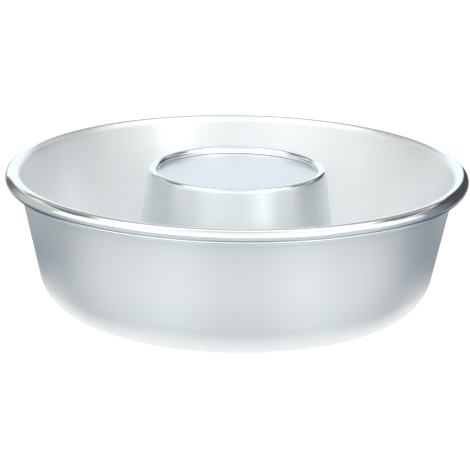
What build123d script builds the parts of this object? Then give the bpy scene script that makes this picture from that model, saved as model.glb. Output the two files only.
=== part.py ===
"""Ring cake pan of spun aluminium, with a wired rim and a closed conical hub.

Four pieces, all turned about one axis: the pan body, the wire inside its rolled rim, the cone in the
middle and the cap that closes the cone. Each piece is drawn as the centre line of its sheet, in the
half plane of radius and height, given its thickness and spun about the Z axis.

The origin is the centre of the underside, +Z is up, and sizes are in millimetres and degrees.
"""

from build123d import *
from math import acos, cos, degrees, radians, sin
import os

# Overall sizes
RIM_DIAMETER = 254.0  # over the outside of the rolled rim
PAN_HEIGHT = 77.0  # from the underside to the top of the rolled rim
HUB_RING_DIAMETER = 97.4  # over the outside of the rolled ring on top of the hub
HUB_HEIGHT = 77.0  # from the underside to the top of that ring

# Sheet and wire
BODY_SHEET = 1.6
CONE_SHEET = 1.0
CAP_SHEET = 1.0
RIM_WIRE = 5.0  # diameter of the wire inside the rim

# Slopes and bends
WALL_TAPER = 12.2  # lean of the outer wall, from upright
CONE_TAPER = 7.5  # lean of the hub, from upright
CORNER_RADIUS = 24.0  # outside radius where the wall turns into the floor
CAP_FOLD_RADIUS = 0.3  # inside radius of the cap's rolled edge
CAP_BEND_RADIUS = 0.4  # inside radius where the cap's disc turns up into its rolled edge

# Seams and gaps
WIRE_GAP = 0.1  # all round the wire, inside the rim
WIRE_END_GAP = 1.0  # between the two cut ends of the wire
RIM_EDGE_GAP = 0.3  # from the rim's rolled-in edge to the outside of the wall
SEAM_GAP = 0.1  # between neighbouring layers of the folded and rolled seams
FOOT_SEAM_HEIGHT = 10.0  # from the underside to the top of the seam at the cone's foot
CONE_LIP_ANGLE = 25.0  # how far the cone's rolled edge runs on below the ring's mid height
CAP_LIP_ANGLE = 10.0  # how far the cap's rolled edge runs on below the ring's mid height


def polar(centre, radius, angle):
    """The point at this distance and angle from centre, the angle counted from outwards to upwards."""
    return centre + Vector(radius * cos(radians(angle)), radius * sin(radians(angle)))


class Slope:
    """Layers that lie parallel beside a leaning wall and run up into a roll round one centre.

    The layers are told apart by their distance from that centre, along the wall's normal.
    """

    def __init__(self, centre, normal_angle, up_angle):
        self.centre = centre
        self.normal_angle = normal_angle
        self.up = polar(Vector(0, 0), 1, up_angle)

    def beside(self, distance):
        """Where the layer at this distance meets the roll."""
        return polar(self.centre, distance, self.normal_angle)

    def at_height(self, distance, height):
        """The layer's point at this height."""
        top = self.beside(distance)
        return top + self.up * ((height - top.Y) / self.up.Y)


def spin(centre_line, sheet):
    """The piece that a sheet of this thickness makes when its centre line is spun about the Z axis."""
    section = trace(centre_line, line_width=sheet)
    return revolve(Plane.XZ * section, Axis.Z)


# The rolled rim: the wall's sheet runs up, outwards over the wire and back in beneath it.
wire_room = RIM_WIRE / 2 + WIRE_GAP  # inside radius of the roll
rim_radius = wire_room + BODY_SHEET  # outside radius of the roll
rim_centre = Vector(RIM_DIAMETER / 2 - rim_radius, PAN_HEIGHT - rim_radius)
wall = Slope(rim_centre, 180 - WALL_TAPER, 90 - WALL_TAPER)

# The rolled ring on the hub: the cone's edge is rolled inwards over the cap's rolled edge.
cap_roll = CAP_FOLD_RADIUS + CAP_SHEET  # outside radius of the cap's roll
cone_room = cap_roll + SEAM_GAP  # inside radius of the cone's roll
ring_radius = cone_room + CONE_SHEET
ring_centre = Vector(HUB_RING_DIAMETER / 2 - ring_radius, HUB_HEIGHT - ring_radius)
cone = Slope(ring_centre, CONE_TAPER, 90 + CONE_TAPER)

# The seam at the cone's foot, inside the hub. From the channel inwards its layers are the cone, the
# body's folded edge, the cone's hook and the body's upright edge, with a gap between each two.
hook_pitch = CONE_SHEET + BODY_SHEET + 2 * SEAM_GAP  # from the cone's sheet to its hook, and likewise
fold_radius = hook_pitch / 2  # of the centre line, in both hooks
cone_layer = ring_radius - CONE_SHEET / 2  # each layer by its distance from the ring's centre
folded_edge_layer = cone_layer - fold_radius
hook_layer = cone_layer - hook_pitch
foot_bend_radius = fold_radius + CONE_SHEET / 2 + SEAM_GAP + BODY_SHEET / 2
foot_centre = cone.at_height(folded_edge_layer, BODY_SHEET / 2 + foot_bend_radius)
seam_top = FOOT_SEAM_HEIGHT - fold_radius - BODY_SHEET / 2  # height of the upper fold's centre
seam_top_centre = cone.at_height(hook_layer, seam_top)


def body_line():
    """Centre line of the body: folded edge, floor, rounded corner, wall and rolled rim."""
    corner_centre = wall.at_height(wire_room + CORNER_RADIUS, CORNER_RADIUS)
    corner_line = CORNER_RADIUS - BODY_SHEET / 2
    roll_line = wire_room + BODY_SHEET / 2
    roll_sweep = 360 - degrees(acos((wire_room - RIM_EDGE_GAP) / rim_radius))
    folded_edge = cone.at_height(folded_edge_layer, foot_centre.Y)
    upper_fold = CenterArc(seam_top_centre, fold_radius, CONE_TAPER, 180)
    foot_bend = CenterArc(foot_centre, foot_bend_radius, 180 + CONE_TAPER, 90 - CONE_TAPER)
    corner = CenterArc(corner_centre, corner_line, -90, 90 - WALL_TAPER)
    roll = CenterArc(rim_centre, roll_line, wall.normal_angle, -roll_sweep)
    return [
        Line(folded_edge, upper_fold @ 0),
        upper_fold,
        Line(upper_fold @ 1, foot_bend @ 0),
        foot_bend,
        Line(foot_bend @ 1, corner @ 0),
        corner,
        Line(corner @ 1, roll @ 0),
        roll,
    ]


def cone_line():
    """Centre line of the cone: hook in the foot seam, tapered wall and rolled ring."""
    lower_fold = CenterArc(foot_centre, fold_radius, 180 + CONE_TAPER, 180)
    roll = CenterArc(ring_centre, cone_layer, CONE_TAPER, 180 - CONE_TAPER + CONE_LIP_ANGLE)
    return [
        Line(seam_top_centre, lower_fold @ 0),
        lower_fold,
        Line(lower_fold @ 1, roll @ 0),
        roll,
    ]


def cap_line():
    """Centre line of the cap: flat disc, upright bend and edge rolled in under the cone's."""
    roll_line = CAP_FOLD_RADIUS + CAP_SHEET / 2
    bend_line = CAP_BEND_RADIUS + CAP_SHEET / 2
    lip_drop = ring_radius * sin(radians(CONE_LIP_ANGLE))
    disc_height = ring_centre.Y - lip_drop - SEAM_GAP - CAP_SHEET / 2
    bend_centre = cone.at_height(roll_line - bend_line, disc_height + bend_line)
    bend = CenterArc(bend_centre, bend_line, -90, 90 + CONE_TAPER)
    roll = CenterArc(ring_centre, roll_line, CONE_TAPER, 180 - CONE_TAPER + CAP_LIP_ANGLE)
    return [
        Line((0, disc_height), bend @ 0),
        bend,
        Line(bend @ 1, roll @ 0),
        roll,
    ]


def rim_wire():
    """Steel wire bent to a ring inside the rim, with its two cut ends left just apart on the +X side."""
    section = Plane.XZ * Location(rim_centre) * Circle(RIM_WIRE / 2)
    open_angle = degrees(WIRE_END_GAP / rim_centre.X)
    ring = revolve(section, Axis.Z, 360 - open_angle)
    return Rot(0, 0, open_angle / 2) * ring


pieces = {
    "pan_body": spin(body_line(), BODY_SHEET),
    "rim_wire": rim_wire(),
    "centre_cone": spin(cone_line(), CONE_SHEET),
    "hub_cap": spin(cap_line(), CAP_SHEET),
}

os.makedirs("parts", exist_ok=True)
for name, piece in pieces.items():
    export_step(piece, f"parts/{name}.step")
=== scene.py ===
"""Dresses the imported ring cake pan: smooth spun pieces, their metal finishes and a white studio.

The script is laid out as an add-on and is run as a script. Each sheet piece is drawn as the middle
line of its sheet, in the half plane of radius and height, and Geometry Nodes spin it about the Z axis.
Lengths are in metres and angles in radians.
"""

from math import acos, ceil, cos, pi, radians, sin, tau

import bpy
from bpy.props import FloatProperty, FloatVectorProperty, IntProperty, PointerProperty
from mathutils import Matrix, Vector


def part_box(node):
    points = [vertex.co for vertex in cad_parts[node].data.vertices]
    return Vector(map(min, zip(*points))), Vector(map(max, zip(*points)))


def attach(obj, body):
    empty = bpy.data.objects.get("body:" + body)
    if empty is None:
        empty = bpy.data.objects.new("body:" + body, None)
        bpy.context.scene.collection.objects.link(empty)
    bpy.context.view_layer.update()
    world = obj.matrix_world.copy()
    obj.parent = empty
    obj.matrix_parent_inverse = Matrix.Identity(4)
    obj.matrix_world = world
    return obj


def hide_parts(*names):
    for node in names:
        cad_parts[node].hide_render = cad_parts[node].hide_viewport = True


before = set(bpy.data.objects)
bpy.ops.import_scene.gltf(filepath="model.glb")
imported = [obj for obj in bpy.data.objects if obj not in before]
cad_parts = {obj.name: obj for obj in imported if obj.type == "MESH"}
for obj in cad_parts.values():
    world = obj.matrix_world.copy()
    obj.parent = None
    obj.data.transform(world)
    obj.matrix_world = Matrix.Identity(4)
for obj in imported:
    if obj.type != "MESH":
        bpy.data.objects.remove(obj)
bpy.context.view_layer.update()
body_low, body_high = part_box("pan_body")
wire_low, wire_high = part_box("rim_wire")
cone_low, cone_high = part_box("centre_cone")

bl_info = {
    "name": "Ring Cake Pan",
    "version": (1, 0, 0),
    "blender": (4, 5, 0),
    "location": "3D View > Sidebar > Cake Pan",
    "description": "Spins the pieces of a ring cake pan, finishes their metal and sets a white studio",
    "category": "Add Mesh",
}

ARC_STEP = radians(5)  # along every bend
STRAIGHT_STEP = 0.005  # along every straight stretch
BEND_GUARD = 0.0004  # from a bend to the nearest point on the straight beside it
WELD = 1e-6  # points closer than this are one


def length(name, description, default):
    """A property that holds a length."""
    return FloatProperty(
        name=name, description=description, default=default, min=0.0, precision=5, unit="LENGTH"
    )


def angle(name, description, degrees):
    """A property that holds an angle."""
    return FloatProperty(name=name, description=description, default=radians(degrees), subtype="ANGLE")


def share(name, description, default, most=1.0):
    """A property that holds a plain number from 0 up."""
    return FloatProperty(name=name, description=description, default=default, min=0.0, max=most)


def colour(name, description, default):
    """A property that holds a colour."""
    return FloatVectorProperty(
        name=name, description=description, default=default, min=0.0, max=1.0, size=3, subtype="COLOR"
    )


class PanSizes(bpy.types.PropertyGroup):
    """Sizes of the pan's four pieces."""

    rim_diameter: length("Rim diameter", "Over the outside of the rolled rim", 2 * body_high.x)
    pan_height: length("Pan height", "From the underside to the top of the rim", body_high.z)
    ring_diameter: length("Hub ring diameter", "Over the outside of the hub's rolled ring", 0.0974)
    hub_height: length("Hub height", "From the underside to the top of the hub's ring", cone_high.z)
    body_sheet: length("Body sheet", "Thickness of the body", 0.0016)
    cone_sheet: length("Cone sheet", "Thickness of the hub's cone", 0.001)
    cap_sheet: length("Cap sheet", "Thickness of the hub's cap", 0.001)
    rim_wire: length("Rim wire", "Diameter of the wire in the rim", wire_high.z - wire_low.z)
    wall_taper: angle("Wall taper", "Lean of the outer wall, from upright", 12.2)
    cone_taper: angle("Cone taper", "Lean of the hub, from upright", 7.5)
    corner_radius: length("Corner radius", "Outside radius between wall and floor", 0.024)
    fold_radius: length("Cap fold radius", "Inside radius of the cap's rolled edge", 0.0003)
    bend_radius: length("Cap bend radius", "Inside radius where the cap's disc turns up", 0.0004)
    wire_gap: length("Wire gap", "All round the wire, inside the rim", 0.0001)
    wire_end_gap: length("Wire end gap", "Between the wire's two cut ends", 0.001)
    rim_edge_gap: length("Rim edge gap", "From the rim's rolled-in edge to the wall", 0.0003)
    seam_gap: length("Seam gap", "Between neighbouring layers of a seam", 0.0001)
    seam_height: length("Seam height", "From the underside to the top of the foot seam", 0.010)
    cone_lip: angle("Cone lip", "How far the cone's roll runs on below the ring's mid height", 25)
    cap_lip: angle("Cap lip", "How far the cap's roll runs on below the ring's mid height", 10)
    cut_edge: length("Cut edge", "Rounding of the sheets' cut edges", 0.00018)
    segments: IntProperty(
        name="Segments", description="Flats round each spun piece", default=192, min=16, max=512
    )


class PanFinish(bpy.types.PropertyGroup):
    """Colours and surface of the metals."""

    satin: colour("Satin aluminium", "Body", (0.93, 0.95, 0.956))
    cone: colour("Cone aluminium", "Cone, a cooler sheet", (0.905, 0.945, 0.955))
    cap: colour("Cap aluminium", "Disc on top of the hub", (0.92, 0.95, 0.98))
    zinc: colour("Zinc", "Galvanised wire in the rim", (0.58, 0.60, 0.62))
    wall_roughness: share("Wall roughness", "Of the satin walls", 0.38)
    roll_roughness: share("Roll roughness", "Of the burnished rolled edges", 0.15)
    cap_roughness: share("Cap roughness", "Of the pressed cap", 0.36)
    body_haze: share("Body haze", "Share of the light that the body's satin scatters all ways", 0.24)
    cone_haze: share("Cone haze", "The same for the cone's satin and the cap's", 0.08)
    stretch: share("Stretch", "How far highlights are drawn out across the spinning lines", 0.85)
    line_width: length("Line width", "Of the fine lines that spinning leaves", 0.0005)
    line_depth: length("Line depth", "Of those lines", 0.0000018)
    band_width: length("Band width", "Of the broad bands that the spinning tool leaves", 0.007)
    band_depth: length("Band depth", "Of those bands", 0.000006)


class StudioSetup(bpy.types.PropertyGroup):
    """The white studio and its camera."""

    paper: colour("Paper", "Floor of the studio", (0.60, 0.60, 0.60))
    paper_size: length("Paper size", "Side of the floor", 8.0)
    paper_glow: share("Paper glow", "What the camera sees of the paper besides the lamps' light", 0.6)
    # The next two colours are the painted reflection that mirror rays see on the paper: its painted lit
    # side and its painted dim side.
    lit_paper: colour("Lit paper", "What the metal mirrors of the paper's light side", (0.44, 0.53, 0.585))
    dim_paper: colour("Dim paper", "What the metal mirrors of its dim side", (0.08, 0.145, 0.195))
    sky: share("Sky", "Brightness of the room round the pan", 1.13, 4.0)
    overhead: share("Overhead lamp", "Power of the soft lamp overhead, in watts", 4.0, 500.0)
    focal_length: FloatProperty(
        name="Focal length", description="Of the camera's lens, in millimetres", default=183.05, min=1.0
    )
    camera_distance: length("Camera distance", "In front of the pan's axis", 1.270)
    camera_height: length("Camera height", "Above the floor", 0.4101)
    camera_tilt: angle("Camera tilt", "Downwards from level", 16.325)
    camera_turn: angle("Camera turn", "To the left, seen from above", 0.03)
    camera_roll: angle("Camera roll", "Anticlockwise, seen from behind the camera", 0.824)


class Signal:
    """A socket's value, which sums and products can be written with."""

    def __init__(self, tree, socket):
        self.tree = tree
        self.socket = socket

    def output(self, name):
        """Another output of the same node."""
        return Signal(self.tree, self.socket.node.outputs[name])

    def __add__(self, other):
        return self.tree.sum("ADD", self, other)

    def __radd__(self, other):
        return self.tree.sum("ADD", other, self)

    def __sub__(self, other):
        return self.tree.sum("SUBTRACT", self, other)

    def __rsub__(self, other):
        return self.tree.sum("SUBTRACT", other, self)

    def __mul__(self, other):
        return self.tree.sum("MULTIPLY", self, other)

    def __rmul__(self, other):
        return self.tree.sum("MULTIPLY", other, self)

    def __truediv__(self, other):
        return self.tree.sum("DIVIDE", self, other)

    def __abs__(self):
        return self.tree.sum("ABSOLUTE", self)


class Tree:
    """A node tree, with short ways to add to it."""

    def __init__(self, nodes_owner):
        self.tree = nodes_owner

    def add(self, kind, settings=None, values=None, output=0):
        """Adds a node: its settings first, then its sockets' values or links."""
        node = self.tree.nodes.new(kind)
        for name, setting in (settings or {}).items():
            setattr(node, name, setting)
        for name, value in (values or {}).items():
            self.fill(node.inputs[name], value)
        return Signal(self, node.outputs[output]) if node.outputs else node

    def fill(self, socket, value):
        """Links a socket to a signal, or sets it to a constant."""
        if isinstance(value, Signal):
            self.tree.links.new(value.socket, socket)
        else:
            socket.default_value = value

    def sum(self, operation, *values):
        """One step of arithmetic."""
        return self.add("ShaderNodeMath", {"operation": operation}, dict(enumerate(values)))

    def smooth(self, value, low, high):
        """0 at low, 1 at high and a soft step between them."""
        settings = {"interpolation_type": "SMOOTHSTEP"}
        return self.add(
            "ShaderNodeMapRange", settings, {"Value": value, "From Min": low, "From Max": high}
        )

    def mix(self, share_of_second, first, second):
        """A blend of two colours."""
        values = {0: share_of_second, 6: first, 7: second}
        return self.add("ShaderNodeMix", {"data_type": "RGBA"}, values, 2)

    def noise(self, vector, w, detail=2.0):
        """Four-dimensional noise, from 0 to 1, in unit steps."""
        values = {"Vector": vector, "W": w, "Scale": 1.0, "Detail": detail}
        return self.add("ShaderNodeTexNoise", {"noise_dimensions": "4D"}, values)


def new_group(name, inputs):
    """An empty Geometry Nodes group with these named inputs, and signals for them."""
    group = bpy.data.node_groups.new(name, "GeometryNodeTree")
    group.is_modifier = True
    face = group.interface
    face.new_socket("Geometry", in_out="INPUT", socket_type="NodeSocketGeometry")
    for label, kind in inputs.items():
        face.new_socket(label, in_out="INPUT", socket_type=kind)
    face.new_socket("Geometry", in_out="OUTPUT", socket_type="NodeSocketGeometry")
    tree = Tree(group)
    return tree, tree.add("NodeGroupInput")


def close_group(tree, geometry, material):
    """Ends a Geometry Nodes group with its material."""
    whole = tree.add("GeometryNodeRealizeInstances", values={"Geometry": geometry})
    painted = tree.add("GeometryNodeSetMaterial", values={"Geometry": whole, "Material": material})
    tree.add("NodeGroupOutput", values={"Geometry": painted})
    return tree.tree


def spinning_group():
    """Spins a section, drawn with x as radius and y as height, about the Z axis."""
    inputs = {
        "Path Radius": "NodeSocketFloat",
        "Segments": "NodeSocketInt",
        "Weld": "NodeSocketFloat",
        "Material": "NodeSocketMaterial",
    }
    tree, entry = new_group("spun_sheet", inputs)
    back = tree.add("ShaderNodeCombineXYZ", values={"X": 0.0 - entry.output("Path Radius")})
    section = tree.add(
        "GeometryNodeTransform",
        values={"Geometry": entry, "Translation": back, "Rotation": (pi, 0.0, 0.0)},
    )
    circle = tree.add(
        "GeometryNodeCurvePrimitiveCircle",
        values={"Resolution": entry.output("Segments"), "Radius": entry.output("Path Radius")},
    )
    sheet = tree.add("GeometryNodeCurveToMesh", values={"Curve": circle, "Profile Curve": section})
    closed = tree.add(
        "GeometryNodeMergeByDistance", values={"Geometry": sheet, "Distance": entry.output("Weld")}
    )
    shaded = tree.add("GeometryNodeSetShadeSmooth", values={"Geometry": closed})
    return close_group(tree, shaded, entry.output("Material"))


def bending_group():
    """Bends a round wire to a level ring, open on the +X side, with flat cut ends."""
    inputs = {
        "Ring Radius": "NodeSocketFloat",
        "Wire Radius": "NodeSocketFloat",
        "Height": "NodeSocketFloat",
        "Open Angle": "NodeSocketFloat",
        "Segments": "NodeSocketInt",
        "Flats": "NodeSocketInt",
        "Sharp Angle": "NodeSocketFloat",
        "Material": "NodeSocketMaterial",
    }
    tree, entry = new_group("bent_wire", inputs)
    open_angle = entry.output("Open Angle")
    route = tree.add(
        "GeometryNodeCurveArc",
        {"mode": "RADIUS"},
        {
            "Resolution": entry.output("Segments"),
            "Radius": entry.output("Ring Radius"),
            "Start Angle": open_angle * 0.5,
            "Sweep Angle": tau - open_angle,
        },
    )
    section = tree.add(
        "GeometryNodeCurvePrimitiveCircle",
        values={"Resolution": entry.output("Flats"), "Radius": entry.output("Wire Radius")},
    )
    wire = tree.add(
        "GeometryNodeCurveToMesh",
        values={"Curve": route, "Profile Curve": section, "Fill Caps": True},
    )
    lift = tree.add("ShaderNodeCombineXYZ", values={"Z": entry.output("Height")})
    raised = tree.add("GeometryNodeTransform", values={"Geometry": wire, "Translation": lift})
    turn = tree.add("GeometryNodeInputMeshEdgeAngle")
    sharp = tree.sum("GREATER_THAN", turn, entry.output("Sharp Angle"))
    round_side = tree.add("GeometryNodeSetShadeSmooth", values={"Geometry": raised})
    shaded = tree.add(
        "GeometryNodeSetShadeSmooth",
        {"domain": "EDGE"},
        {"Geometry": round_side, "Selection": sharp, "Shade Smooth": False},
    )
    return close_group(tree, shaded, entry.output("Material"))


def built_piece(name, base_data, group, values):
    """A plain mesh object that holds what the group makes of the base."""
    base = bpy.data.objects.new(name, base_data)
    bpy.context.scene.collection.objects.link(base)
    modifier = base.modifiers.new("build", "NODES")
    modifier.node_group = group
    for item in group.interface.items_tree:
        if item.in_out == "INPUT" and item.name in values:
            modifier[item.identifier] = values[item.name]
    depsgraph = bpy.context.evaluated_depsgraph_get()
    mesh = bpy.data.meshes.new_from_object(base.evaluated_get(depsgraph), depsgraph=depsgraph)
    bpy.data.objects.remove(base)
    if not mesh.polygons:
        raise RuntimeError(f"{name} came out empty")
    mesh.name = name
    piece = bpy.data.objects.new(name, mesh)
    bpy.context.scene.collection.objects.link(piece)
    return piece


def polar(centre, radius, turn):
    """The point at this distance and angle from centre, the angle counted from outwards to upwards."""
    return centre + Vector((radius * cos(turn), radius * sin(turn)))


class Slope:
    """Layers that lie parallel beside a leaning wall and run up into a roll round one centre."""

    def __init__(self, centre, normal_angle, up_angle):
        self.centre = centre
        self.normal_angle = normal_angle
        self.up = polar(Vector((0.0, 0.0)), 1.0, up_angle)

    def at_height(self, distance, height):
        """The point at this height of the layer at this distance from the centre."""
        top = polar(self.centre, distance, self.normal_angle)
        return top + self.up * ((height - top.y) / self.up.y)


class MiddleLine:
    """The middle of a sheet's section: points, each with the unit normal on the line's left."""

    def __init__(self):
        self.points = []

    def run(self, start, end, from_end=False, to_end=False):
        """A straight stretch, with an end of its own only where the sheet is cut."""
        along = end - start
        left = Vector((-along.y, along.x)).normalized()
        guard = BEND_GUARD / along.length
        first = 0.0 if from_end else guard
        last = 1.0 if to_end else 1.0 - guard
        steps = max(1, ceil((last - first) * along.length / STRAIGHT_STEP))
        shares = [first + (last - first) * step / steps for step in range(steps + 1)]
        if from_end:
            shares.insert(1, guard)
        self.points += [(start + along * at, left) for at in shares]
        return self

    def bend(self, centre, radius, start, sweep):
        """A round stretch."""
        steps = max(2, ceil(abs(sweep) / ARC_STEP))
        side = -1.0 if sweep > 0 else 1.0
        for step in range(steps + 1):
            out = polar(Vector((0.0, 0.0)), 1.0, start + sweep * step / steps)
            self.points.append((centre + out * radius, out * side))
        return self

    def outline(self, sheet, rounding, from_axis=False):
        """The section's outline, with rounded cut ends. One that starts at the axis stays open there."""
        half = sheet / 2
        inner = self.points[:-1] if from_axis else self.points[1:-1]
        left = [point + normal * half for point, normal in inner]
        right = [point - normal * half for point, normal in reversed(inner)]
        finish = cut_end(*self.points[-1], half, rounding)
        if from_axis:
            return left + finish + right
        start, normal = self.points[0]
        return left + finish + right + cut_end(start, -normal, half, rounding)


def cut_end(end, side, half, rounding):
    """The outline round a sheet's cut end, from the given side of the sheet to its other side."""
    ahead = Vector((side.y, -side.x))
    steps = [tau / 4 * step / 3 for step in range(4)]
    near = end + side * (half - rounding) - ahead * rounding
    far = end - side * (half - rounding) - ahead * rounding
    return [near + (side * cos(at) + ahead * sin(at)) * rounding for at in steps] + [
        far + (ahead * cos(at) - side * sin(at)) * rounding for at in steps
    ]


class Layout:
    """Where the rolls, folds and slopes of the four pieces lie."""

    def __init__(self, sizes):
        self.sizes = sizes
        self.wire_room = sizes.rim_wire / 2 + sizes.wire_gap
        self.rim_radius = self.wire_room + sizes.body_sheet
        rim_at = (sizes.rim_diameter / 2 - self.rim_radius, sizes.pan_height - self.rim_radius)
        self.rim_centre = Vector(rim_at)
        self.wall = Slope(self.rim_centre, pi - sizes.wall_taper, pi / 2 - sizes.wall_taper)

        cone_room = sizes.fold_radius + sizes.cap_sheet + sizes.seam_gap
        self.ring_radius = cone_room + sizes.cone_sheet
        ring_at = (sizes.ring_diameter / 2 - self.ring_radius, sizes.hub_height - self.ring_radius)
        self.ring_centre = Vector(ring_at)
        self.cone = Slope(self.ring_centre, sizes.cone_taper, pi / 2 + sizes.cone_taper)

        pitch = sizes.cone_sheet + sizes.body_sheet + 2 * sizes.seam_gap
        self.hook_radius = pitch / 2
        self.cone_layer = self.ring_radius - sizes.cone_sheet / 2
        self.folded_layer = self.cone_layer - self.hook_radius
        clearance = sizes.cone_sheet / 2 + sizes.seam_gap + sizes.body_sheet / 2
        self.foot_bend = self.hook_radius + clearance
        foot_height = sizes.body_sheet / 2 + self.foot_bend
        self.foot_centre = self.cone.at_height(self.folded_layer, foot_height)
        top_height = sizes.seam_height - self.hook_radius - sizes.body_sheet / 2
        self.seam_top = self.cone.at_height(self.cone_layer - pitch, top_height)

    def body_outline(self):
        """Folded edge, floor, rounded corner, wall and rolled rim."""
        sizes = self.sizes
        half = sizes.body_sheet / 2
        corner_centre = self.wall.at_height(self.wire_room + sizes.corner_radius, sizes.corner_radius)
        corner_line = sizes.corner_radius - half
        roll_line = self.wire_room + half
        roll_sweep = tau - acos((self.wire_room - sizes.rim_edge_gap) / self.rim_radius)
        taper = sizes.cone_taper
        lean = sizes.wall_taper
        edge = self.cone.at_height(self.folded_layer, self.foot_centre.y)
        line = MiddleLine()
        line.run(edge, polar(self.seam_top, self.hook_radius, taper), from_end=True)
        line.bend(self.seam_top, self.hook_radius, taper, pi)
        line.run(
            polar(self.seam_top, self.hook_radius, pi + taper),
            polar(self.foot_centre, self.foot_bend, pi + taper),
        )
        line.bend(self.foot_centre, self.foot_bend, pi + taper, pi / 2 - taper)
        line.run(
            polar(self.foot_centre, self.foot_bend, -pi / 2), polar(corner_centre, corner_line, -pi / 2)
        )
        line.bend(corner_centre, corner_line, -pi / 2, pi / 2 - lean)
        line.run(
            polar(corner_centre, corner_line, -lean), polar(self.rim_centre, roll_line, pi - lean)
        )
        line.bend(self.rim_centre, roll_line, pi - lean, -roll_sweep)
        return line.outline(sizes.body_sheet, sizes.cut_edge)

    def cone_outline(self):
        """Hook in the foot seam, tapered wall and rolled ring."""
        sizes = self.sizes
        taper = sizes.cone_taper
        line = MiddleLine()
        line.run(self.seam_top, polar(self.foot_centre, self.hook_radius, pi + taper), from_end=True)
        line.bend(self.foot_centre, self.hook_radius, pi + taper, pi)
        line.run(
            polar(self.foot_centre, self.hook_radius, taper),
            polar(self.ring_centre, self.cone_layer, taper),
        )
        line.bend(self.ring_centre, self.cone_layer, taper, pi - taper + sizes.cone_lip)
        return line.outline(sizes.cone_sheet, sizes.cut_edge)

    def cap_outline(self):
        """Flat disc, upright bend and edge rolled in under the cone's."""
        sizes = self.sizes
        taper = sizes.cone_taper
        half = sizes.cap_sheet / 2
        roll_line = sizes.fold_radius + half
        bend_line = sizes.bend_radius + half
        disc = self.ring_centre.y - self.ring_radius * sin(sizes.cone_lip) - sizes.seam_gap - half
        bend_centre = self.cone.at_height(roll_line - bend_line, disc + bend_line)
        line = MiddleLine()
        line.run(Vector((0.0, disc)), polar(bend_centre, bend_line, -pi / 2), from_end=True)
        line.bend(bend_centre, bend_line, -pi / 2, pi / 2 + taper)
        line.run(
            polar(bend_centre, bend_line, taper), polar(self.ring_centre, roll_line, taper)
        )
        line.bend(self.ring_centre, roll_line, taper, pi - taper + sizes.cap_lip)
        return line.outline(sizes.cap_sheet, sizes.cut_edge, from_axis=True)


def spun_piece(name, outline, closed, material):
    """The piece that an outline makes when it is spun about the Z axis."""
    section = bpy.data.curves.new(name + "_section", "CURVE")
    section.dimensions = "3D"
    spline = section.splines.new("POLY")
    spline.points.add(len(outline) - 1)
    for point, place in zip(spline.points, outline):
        point.co = (place.x, place.y, 0.0, 1.0)
    spline.use_cyclic_u = closed
    sizes = bpy.context.scene.cake_pan_sizes
    values = {
        "Path Radius": sizes.rim_diameter / 2,
        "Segments": sizes.segments,
        "Weld": WELD,
        "Material": material,
    }
    return built_piece(name, section, spinning_group(), values)


def metal_tree(name):
    """A new material's tree, with its output waiting for a surface."""
    material = bpy.data.materials.new(name)
    material.use_nodes = True
    material.node_tree.nodes.clear()
    return material, Tree(material.node_tree)


def spun_metal(name, tone, roughness, stretch, haze, roll_mask):
    """Satin aluminium with the marks of spinning. The mask says where a rolled edge is burnished."""
    finish = bpy.context.scene.cake_pan_finish
    material, tree = metal_tree(name)
    place = tree.add("ShaderNodeTexCoord", output="Object")
    apart = tree.add("ShaderNodeSeparateXYZ", values={"Vector": place})
    x, y, z = apart, apart.output("Y"), apart.output("Z")
    radius = tree.sum("SQRT", x * x + y * y) + WELD

    def rings(width, drift, detail):
        """Marks of this width that run round the axis and change slowly on the way."""
        values = {"X": x / radius * drift, "Y": y / radius * drift, "Z": radius / width}
        around = tree.add("ShaderNodeCombineXYZ", values=values)
        return tree.noise(around, z / width, detail)

    lines = rings(finish.line_width, 1.5, 2.0)
    bands = rings(finish.band_width, 0.8, 1.0)
    cloud = tree.add("ShaderNodeTexNoise", values={"Vector": place, "Scale": 22.0, "Detail": 4.0})
    rolled = roll_mask(tree, radius, z)
    rough = roughness - rolled * (roughness - finish.roll_roughness)
    rough = rough + (bands - 0.5) * 0.06 + (lines - 0.5) * 0.08 + (cloud - 0.5) * 0.05
    shade = (cloud - 0.5) * 0.6 + (bands - 0.5) * 0.5 + 0.5
    darker = [channel * 0.95 for channel in tone] + [1.0]
    lighter = [min(1.0, channel * 1.04) for channel in tone] + [1.0]
    broad = tree.add(
        "ShaderNodeBump", values={"Height": bands, "Strength": 1.0, "Distance": finish.band_depth}
    )
    fine = tree.add(
        "ShaderNodeBump",
        values={"Height": lines, "Strength": 1.0, "Distance": finish.line_depth, "Normal": broad},
    )
    surface = tree.add(
        "ShaderNodeBsdfPrincipled",
        values={
            "Base Color": tree.mix(shade, darker, lighter),
            "Metallic": 1.0 - (1.0 - rolled) * haze,
            "Roughness": rough,
            "Anisotropic": stretch,
            "Anisotropic Rotation": 0.25,
            "Normal": fine,
        },
    )
    tree.add("ShaderNodeOutputMaterial", values={"Surface": surface})
    return material


def rim_mask(tree, radius, height):
    """1 on the top and outside of the body's rolled rim, 0 on its wall."""
    centre = Layout(bpy.context.scene.cake_pan_sizes).rim_centre
    return tree.smooth(radius, centre.x - 0.0028, centre.x - 0.0008)


def ring_mask(tree, radius, height):
    """1 on the top and inside of the cone's rolled ring, 0 on its wall."""
    centre = Layout(bpy.context.scene.cake_pan_sizes).ring_centre
    return tree.smooth((height - centre.y) - (radius - centre.x), -0.0015, 0.0005)


def no_mask(tree, radius, height):
    """0 all over: the cap has no rolled edge in sight."""
    return 0.0


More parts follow.
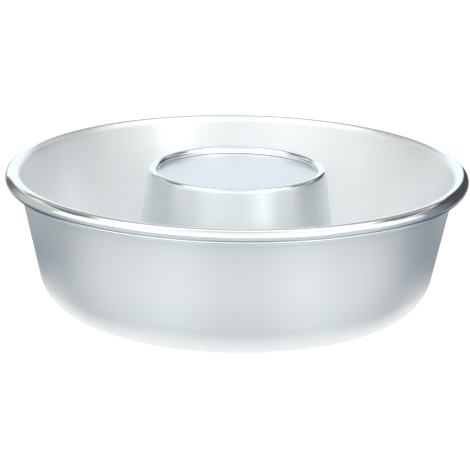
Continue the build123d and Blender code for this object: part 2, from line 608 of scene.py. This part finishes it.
def galvanised(name):
    """Zinc on steel wire: dull, with a fine crystal mottling and a cloudy bump."""
    finish = bpy.context.scene.cake_pan_finish
    material, tree = metal_tree(name)
    place = tree.add("ShaderNodeTexCoord", output="Object")
    crystals = tree.add("ShaderNodeTexVoronoi", values={"Vector": place, "Scale": 900.0})
    cloud = tree.add("ShaderNodeTexNoise", values={"Vector": place, "Scale": 160.0, "Detail": 5.0})
    shade = crystals * 0.5 + cloud * 0.6
    darker = [channel * 0.8 for channel in finish.zinc] + [1.0]
    lighter = [min(1.0, channel * 1.15) for channel in finish.zinc] + [1.0]
    bump = tree.add(
        "ShaderNodeBump", values={"Height": cloud, "Strength": 1.0, "Distance": 0.00001}
    )
    surface = tree.add(
        "ShaderNodeBsdfPrincipled",
        values={
            "Base Color": tree.mix(shade, darker, lighter),
            "Metallic": 1.0,
            "Roughness": 0.42 + (cloud - 0.5) * 0.2,
            "Normal": bump,
        },
    )
    tree.add("ShaderNodeOutputMaterial", values={"Surface": surface})
    return material


def settle(piece, node):
    """Lets a piece stand for a CAD node and ride on the pan."""
    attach(piece, "root")
    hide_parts(node)


class SpinBody(bpy.types.Operator):
    """Spin the pan's body: folded edge, floor, wall and rolled rim"""

    bl_idname = "cake_pan.spin_body"
    bl_label = "Spin Body"

    def execute(self, context):
        sizes, finish = context.scene.cake_pan_sizes, context.scene.cake_pan_finish
        satin = (finish.satin, finish.wall_roughness, finish.stretch, finish.body_haze)
        metal = spun_metal("satin_aluminium_body", *satin, rim_mask)
        piece = spun_piece("spun_body", Layout(sizes).body_outline(), True, metal)
        settle(piece, "pan_body")
        return {"FINISHED"}


class SpinCone(bpy.types.Operator):
    """Spin the hub's cone: folded foot, tapered wall and rolled ring"""

    bl_idname = "cake_pan.spin_cone"
    bl_label = "Spin Cone"

    def execute(self, context):
        sizes, finish = context.scene.cake_pan_sizes, context.scene.cake_pan_finish
        satin = (finish.cone, finish.wall_roughness, finish.stretch, finish.cone_haze)
        metal = spun_metal("satin_aluminium_cone", *satin, ring_mask)
        piece = spun_piece("spun_cone", Layout(sizes).cone_outline(), True, metal)
        settle(piece, "centre_cone")
        return {"FINISHED"}


class SpinCap(bpy.types.Operator):
    """Spin the cap that closes the hub: flat disc and rolled edge"""

    bl_idname = "cake_pan.spin_cap"
    bl_label = "Spin Cap"

    def execute(self, context):
        sizes, finish = context.scene.cake_pan_sizes, context.scene.cake_pan_finish
        satin = (finish.cap, finish.cap_roughness, 0.0, finish.cone_haze)
        metal = spun_metal("satin_cap", *satin, no_mask)
        piece = spun_piece("spun_cap", Layout(sizes).cap_outline(), False, metal)
        settle(piece, "hub_cap")
        return {"FINISHED"}


class BendWire(bpy.types.Operator):
    """Bend the galvanised wire that lies inside the rolled rim"""

    bl_idname = "cake_pan.bend_wire"
    bl_label = "Bend Wire"

    def execute(self, context):
        sizes = context.scene.cake_pan_sizes
        centre = Layout(sizes).rim_centre
        values = {
            "Ring Radius": centre.x,
            "Wire Radius": sizes.rim_wire / 2,
            "Height": centre.y,
            "Open Angle": sizes.wire_end_gap / centre.x,
            "Segments": sizes.segments,
            "Flats": 32,
            "Sharp Angle": radians(40),
            "Material": galvanised("galvanised_wire"),
        }
        base = bpy.data.meshes.new("bent_wire_base")
        piece = built_piece("bent_rim_wire", base, bending_group(), values)
        settle(piece, "rim_wire")
        return {"FINISHED"}


def panel(name, corners):
    """A flat panel with these four corners."""
    mesh = bpy.data.meshes.new(name)
    mesh.from_pydata(corners, [], [(0, 1, 2, 3)])
    board = bpy.data.objects.new(name, mesh)
    bpy.context.scene.collection.objects.link(board)
    return board


def lay_paper(studio):
    """A white floor that keeps the pan's shadow. Mirror rays see a painted reflection on it instead of its
    lit colour: painted light and shade in sectors round the pan, painted brighter close beneath the pan, a
    painted bright strip, and plain grey tones further off.
    """
    end = studio.paper_size / 2
    corners = [(-end, -end, 0.0), (end, -end, 0.0), (end, end, 0.0), (-end, end, 0.0)]
    floor = panel("studio_paper", corners)
    material, tree = metal_tree("studio_paper")
    rays = tree.add("ShaderNodeLightPath", output="Is Camera Ray")
    paper = tree.add(
        "ShaderNodeBsdfPrincipled",
        values={
            "Base Color": (*studio.paper, 1.0),
            "Roughness": 0.9,
            "Emission Color": (1.0, 1.0, 1.0, 1.0),
            "Emission Strength": rays * studio.paper_glow,
        },
    )
    place = tree.add("ShaderNodeTexCoord", output="Object")
    apart = tree.add("ShaderNodeSeparateXYZ", values={"Vector": place})
    x, y = apart, apart.output("Y")
    front = tree.sum("ARCTAN2", x, 0.0 - y)
    away = tree.sum("SQRT", x * x + y * y)
    # Painted light and shade: the paper's mirror image is drawn lit in some directions from the pan and dim
    # in others.
    lit = 1.0 - painted_paper_shade(tree, front)
    painted_mirror_image = tree.mix(lit, (*studio.dim_paper, 1.0), (*studio.lit_paper, 1.0))
    side = tree.smooth(abs(front), radians(50), radians(85))
    # Painted light: the mirror image is drawn brighter close beneath the pan.
    beneath = tree.smooth(away, 0.132 + side * 0.024, 0.100 + side * 0.012)
    painted_mirror_image = tree.mix(beneath, painted_mirror_image, (1.1, 1.1, 1.1, 1.0))
    # Painted tones: plain greys in the mirror image further from the pan, darker to the sides and behind.
    behind = tree.smooth(abs(front), radians(120), radians(150))
    ahead = tree.mix(side, (0.66, 0.69, 0.70, 1.0), (0.44, 0.46, 0.48, 1.0))
    distant = tree.mix(behind, ahead, (0.36, 0.38, 0.40, 1.0))
    painted_mirror_image = tree.mix(tree.smooth(away, 0.19, 0.26), painted_mirror_image, distant)
    # Painted highlight: a bright strip in the mirror image, on the camera's side of the pan.
    strip = tree.smooth(away, 0.140, 0.148) * tree.smooth(away, 0.172, 0.167) * (1.0 - side)
    painted_mirror_image = tree.mix(strip, painted_mirror_image, (1.4, 1.4, 1.4, 1.0))
    # Only mirror rays see this painted reflection.
    image = tree.add("ShaderNodeEmission", values={"Color": painted_mirror_image})
    mirrors = rays.output("Is Glossy Ray") + rays.output("Is Transmission Ray")
    surface = tree.add("ShaderNodeMixShader", values={0: mirrors, 1: paper, 2: image})
    tree.add("ShaderNodeOutputMaterial", values={"Surface": surface})
    floor.data.materials.append(material)


def window(tree, value, low, high, soft):
    """1 between low and high and 0 beyond, with a soft step of this width outside each. In degrees."""
    low, high, soft = radians(low), radians(high), radians(soft)
    return tree.smooth(value, low - soft, low) * tree.smooth(value, high + soft, high)


def painted_paper_shade(tree, front):
    """Painted shade in the paper's mirror image: how dim it is drawn in this direction from the pan,
    counted from the camera's side.
    """
    aside = abs(front)
    dim = tree.smooth(aside, radians(20), radians(68)) - tree.smooth(aside, radians(98), radians(130)) * 0.4
    return dim + window(tree, front, 0, 7, 24) * 0.75


def paint_room(studio):
    """The room round the pan: white for the camera, and soft lights and darker gaps for the metal."""
    world = bpy.data.worlds.new("studio_room")
    world.use_nodes = True
    world.node_tree.nodes.clear()
    tree = Tree(world.node_tree)
    toward = tree.add("ShaderNodeTexCoord", output="Generated")
    apart = tree.add("ShaderNodeSeparateXYZ", values={"Vector": toward})
    x, y, z = apart, apart.output("Y"), apart.output("Z")
    front = tree.sum("ARCTAN2", x, 0.0 - y)
    height = tree.sum("ARCSINE", z)

    aside = abs(front)
    behind = window(tree, aside, 160, 181, 14) * window(tree, height, -10, 36, 8)
    light = studio.sky + window(tree, height, 60, 68, 12) * 0.3 - behind * 0.05
    light = light - tree.smooth(height, radians(68), radians(80)) * 0.47
    light = light + window(tree, front, -38, 36, 22) * window(tree, height, 17, 48, 6) * 0.57
    light = light + window(tree, front, 30, 42, 6) * window(tree, height, 13, 22, 4) * 1.5
    light = light - window(tree, aside, 0, 60, 20) * (1.0 - tree.smooth(height, 0.12, 0.24)) * 0.5
    light = light - window(tree, aside, 108, 145, 14) * window(tree, height, -20, 26, 8) * 0.4
    light = light - window(tree, aside, 0, 60, 20) * window(tree, height, 50, 66, 6) * 0.5
    light = light - window(tree, aside, 0, 4, 12) * window(tree, height, 36, 46, 5) * 0.4
    light = light - window(tree, aside, 0, 12, 12) * window(tree, height, 15, 26, 5) * 0.3
    light = light - window(tree, aside, 150, 181, 16) * window(tree, height, 30, 52, 7) * 0.74
    light = light - window(tree, aside, 102, 134, 10) * window(tree, height, 36, 50, 5) * 0.97
    light = light - window(tree, front, 100, 148, 14) * window(tree, height, 5, 28, 8) * 0.16
    rays = tree.add("ShaderNodeLightPath", output="Is Camera Ray")
    tint = tree.mix(behind * (1.0 - rays), (1.0, 1.0, 1.0, 1.0), (0.88, 0.95, 1.0, 1.0))
    shown = rays + (1.0 - rays) * light
    surface = tree.add("ShaderNodeBackground", values={"Color": tint, "Strength": shown})
    tree.add("ShaderNodeOutputWorld", values={"Surface": surface})
    bpy.context.scene.world = world


def stand_painted_board(name, foot, heights, span, tones):
    """A board beside the pan that glows with tones graded from one to another along Y: painted dark
    reflections in the metal.

    Only its mirror image in the metal shows.
    """
    (low_x, low_y), (high_x, high_y) = foot
    gap, near, far = heights
    corners = [(low_x, low_y, gap), (high_x, high_y, gap), (high_x, high_y, far), (low_x, low_y, near)]
    board = panel(name, corners)
    board.visible_camera = False
    board.visible_diffuse = False
    board.visible_shadow = False
    material, tree = metal_tree(name)
    place = tree.add("ShaderNodeTexCoord", output="Object")
    apart = tree.add("ShaderNodeSeparateXYZ", values={"Vector": place})
    first, second = tones
    shade = tree.mix(tree.smooth(apart.output("Y"), *span), (*first, 1.0), (*second, 1.0))
    paint = tree.add("ShaderNodeEmission", values={"Color": shade})
    tree.add("ShaderNodeOutputMaterial", values={"Surface": paint})
    board.data.materials.append(material)


def hang_lamp(name, place, size, power):
    """A square soft lamp that faces the middle of the pan."""
    lamp = bpy.data.lights.new(name, "AREA")
    lamp.size = size
    lamp.energy = power
    holder = bpy.data.objects.new(name, lamp)
    holder.visible_glossy = False
    holder.location = place
    holder.rotation_euler = (Vector(place)).to_track_quat("Z", "Y").to_euler()
    bpy.context.scene.collection.objects.link(holder)
    return holder


def place_camera(studio):
    """The camera, in front of the pan and looking down on it."""
    lens = bpy.data.cameras.new("studio_camera")
    lens.lens = studio.focal_length
    lens.sensor_width = 36.0
    lens.clip_start = 0.01
    camera = bpy.data.objects.new("studio_camera", lens)
    turn = Matrix.Rotation(studio.camera_turn, 4, "Z")
    tilt = Matrix.Rotation(pi / 2 - studio.camera_tilt, 4, "X")
    roll = Matrix.Rotation(studio.camera_roll, 4, "Z")
    stand = Matrix.Translation((0.0, -studio.camera_distance, studio.camera_height))
    camera.matrix_world = stand @ turn @ tilt @ roll
    bpy.context.scene.collection.objects.link(camera)
    bpy.context.scene.camera = camera


class SetStudio(bpy.types.Operator):
    """Set up the white studio: paper floor with a painted reflection, room, lamps, glowing boards for
    painted dark reflections, and camera
    """

    bl_idname = "cake_pan.set_studio"
    bl_label = "Set Studio"

    def execute(self, context):
        studio = context.scene.cake_pan_studio
        context.scene.view_settings.view_transform = "Standard"
        lay_paper(studio)
        paint_room(studio)
        # Painted reflections: two glowing boards with dark graded tones that only the metal mirrors.
        stand_painted_board(
            "right_painted_board",
            ((0.19, -0.06), (0.23, 0.46)),
            (0.03, 0.13, 0.30),
            (-0.07, 0.03),
            ((0.30, 0.31, 0.33), (0.07, 0.07, 0.08)),
        )
        stand_painted_board(
            "left_painted_board",
            ((-0.30, -0.05), (-0.30, 0.35)),
            (0.0, 0.19, 0.19),
            (0.06, 0.23),
            ((0.55, 0.55, 0.53), (0.15, 0.15, 0.16)),
        )
        hang_lamp("overhead_lamp", (0.0, 0.1, 1.3), 0.9, studio.overhead)
        place_camera(studio)
        return {"FINISHED"}


class CakePanPanel(bpy.types.Panel):
    """Sizes, finishes and studio of the cake pan, and the buttons that build them"""

    bl_idname = "VIEW3D_PT_cake_pan"
    bl_label = "Ring Cake Pan"
    bl_space_type = "VIEW_3D"
    bl_region_type = "UI"
    bl_category = "Cake Pan"

    def draw(self, context):
        scene = context.scene
        for title, group in (
            ("Sizes", scene.cake_pan_sizes),
            ("Finish", scene.cake_pan_finish),
            ("Studio", scene.cake_pan_studio),
        ):
            box = self.layout.box()
            box.label(text=title)
            for name in type(group).__annotations__:
                box.prop(group, name)
        for operator in BUILDERS:
            self.layout.operator(operator.bl_idname)


BUILDERS = (SpinBody, BendWire, SpinCone, SpinCap, SetStudio)
CLASSES = (PanSizes, PanFinish, StudioSetup, *BUILDERS, CakePanPanel)


def register():
    """Adds the classes and the scene's properties to Blender."""
    for each in CLASSES:
        bpy.utils.register_class(each)
    bpy.types.Scene.cake_pan_sizes = PointerProperty(type=PanSizes)
    bpy.types.Scene.cake_pan_finish = PointerProperty(type=PanFinish)
    bpy.types.Scene.cake_pan_studio = PointerProperty(type=StudioSetup)


def unregister():
    """Takes them away again."""
    del bpy.types.Scene.cake_pan_studio
    del bpy.types.Scene.cake_pan_finish
    del bpy.types.Scene.cake_pan_sizes
    for each in reversed(CLASSES):
        bpy.utils.unregister_class(each)


def main():
    """Builds the pan and the studio."""
    register()
    bpy.ops.cake_pan.spin_body()
    bpy.ops.cake_pan.bend_wire()
    bpy.ops.cake_pan.spin_cone()
    bpy.ops.cake_pan.spin_cap()
    bpy.ops.cake_pan.set_studio()


if __name__ == "__main__":
    main()
